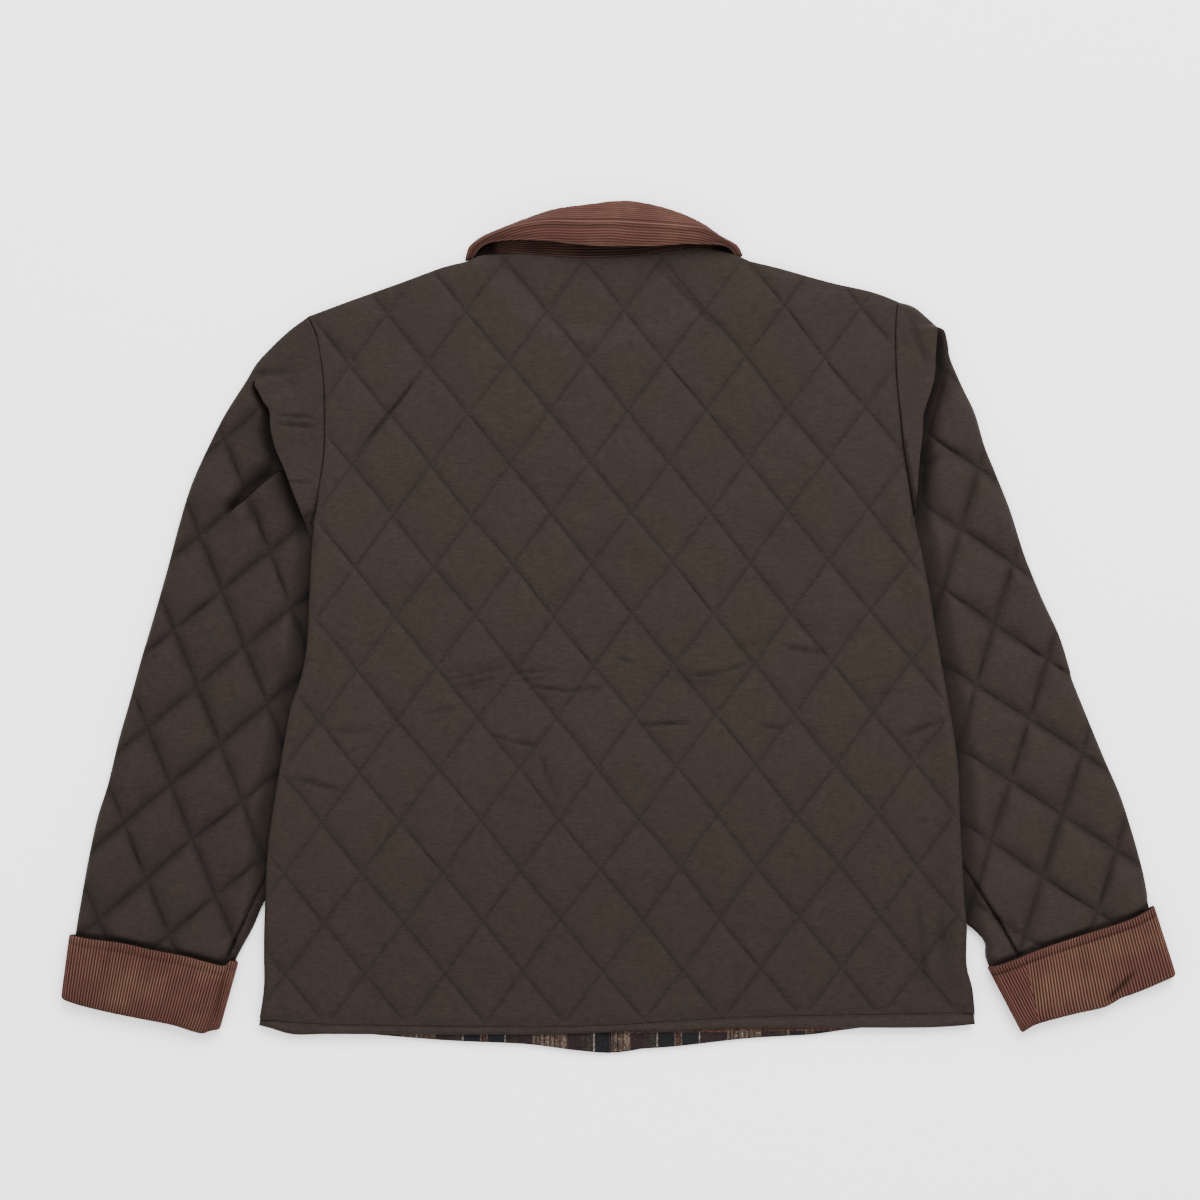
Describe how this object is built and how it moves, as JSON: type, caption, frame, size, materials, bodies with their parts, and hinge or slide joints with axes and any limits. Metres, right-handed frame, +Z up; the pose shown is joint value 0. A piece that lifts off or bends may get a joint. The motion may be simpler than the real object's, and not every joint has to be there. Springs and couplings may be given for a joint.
{
  "type": "quilted jacket",
  "caption": "Hip-length diamond-quilted jacket laid flat, face down, with corduroy collar and turned-back corduroy cuffs",
  "frame": {"origin": "on the surface, under the middle of the garment's box", "axes": "+X across the body towards the wearer's right sleeve, +Y from hem to collar, +Z up from the surface to the back, which faces up"},
  "size_m": [0.912, 0.6984, 0.0231],
  "materials": {
    "quilted_cotton": "dark olive-brown cotton with a faint sheen, quilted in diamonds over thin padding",
    "corduroy": "red-brown cotton corduroy, about 11 wales to the inch",
    "plaid_lining": "soft woven plaid in navy, dark red and beige"
  },
  "bodies": {
    "root": {"back": "quilted_cotton", "back_hem": "quilted_cotton", "front_left": "quilted_cotton", "front_right": "quilted_cotton", "sleeve_left": "quilted_cotton", "sleeve_right": "quilted_cotton", "cuff_left": "corduroy", "cuff_right": "corduroy", "collar": "corduroy", "collar_stand": "corduroy", "collar_end_left": "corduroy", "collar_end_right": "corduroy", "lining_left": "plaid_lining", "lining_right": "plaid_lining"}
  },
  "joints": []
}
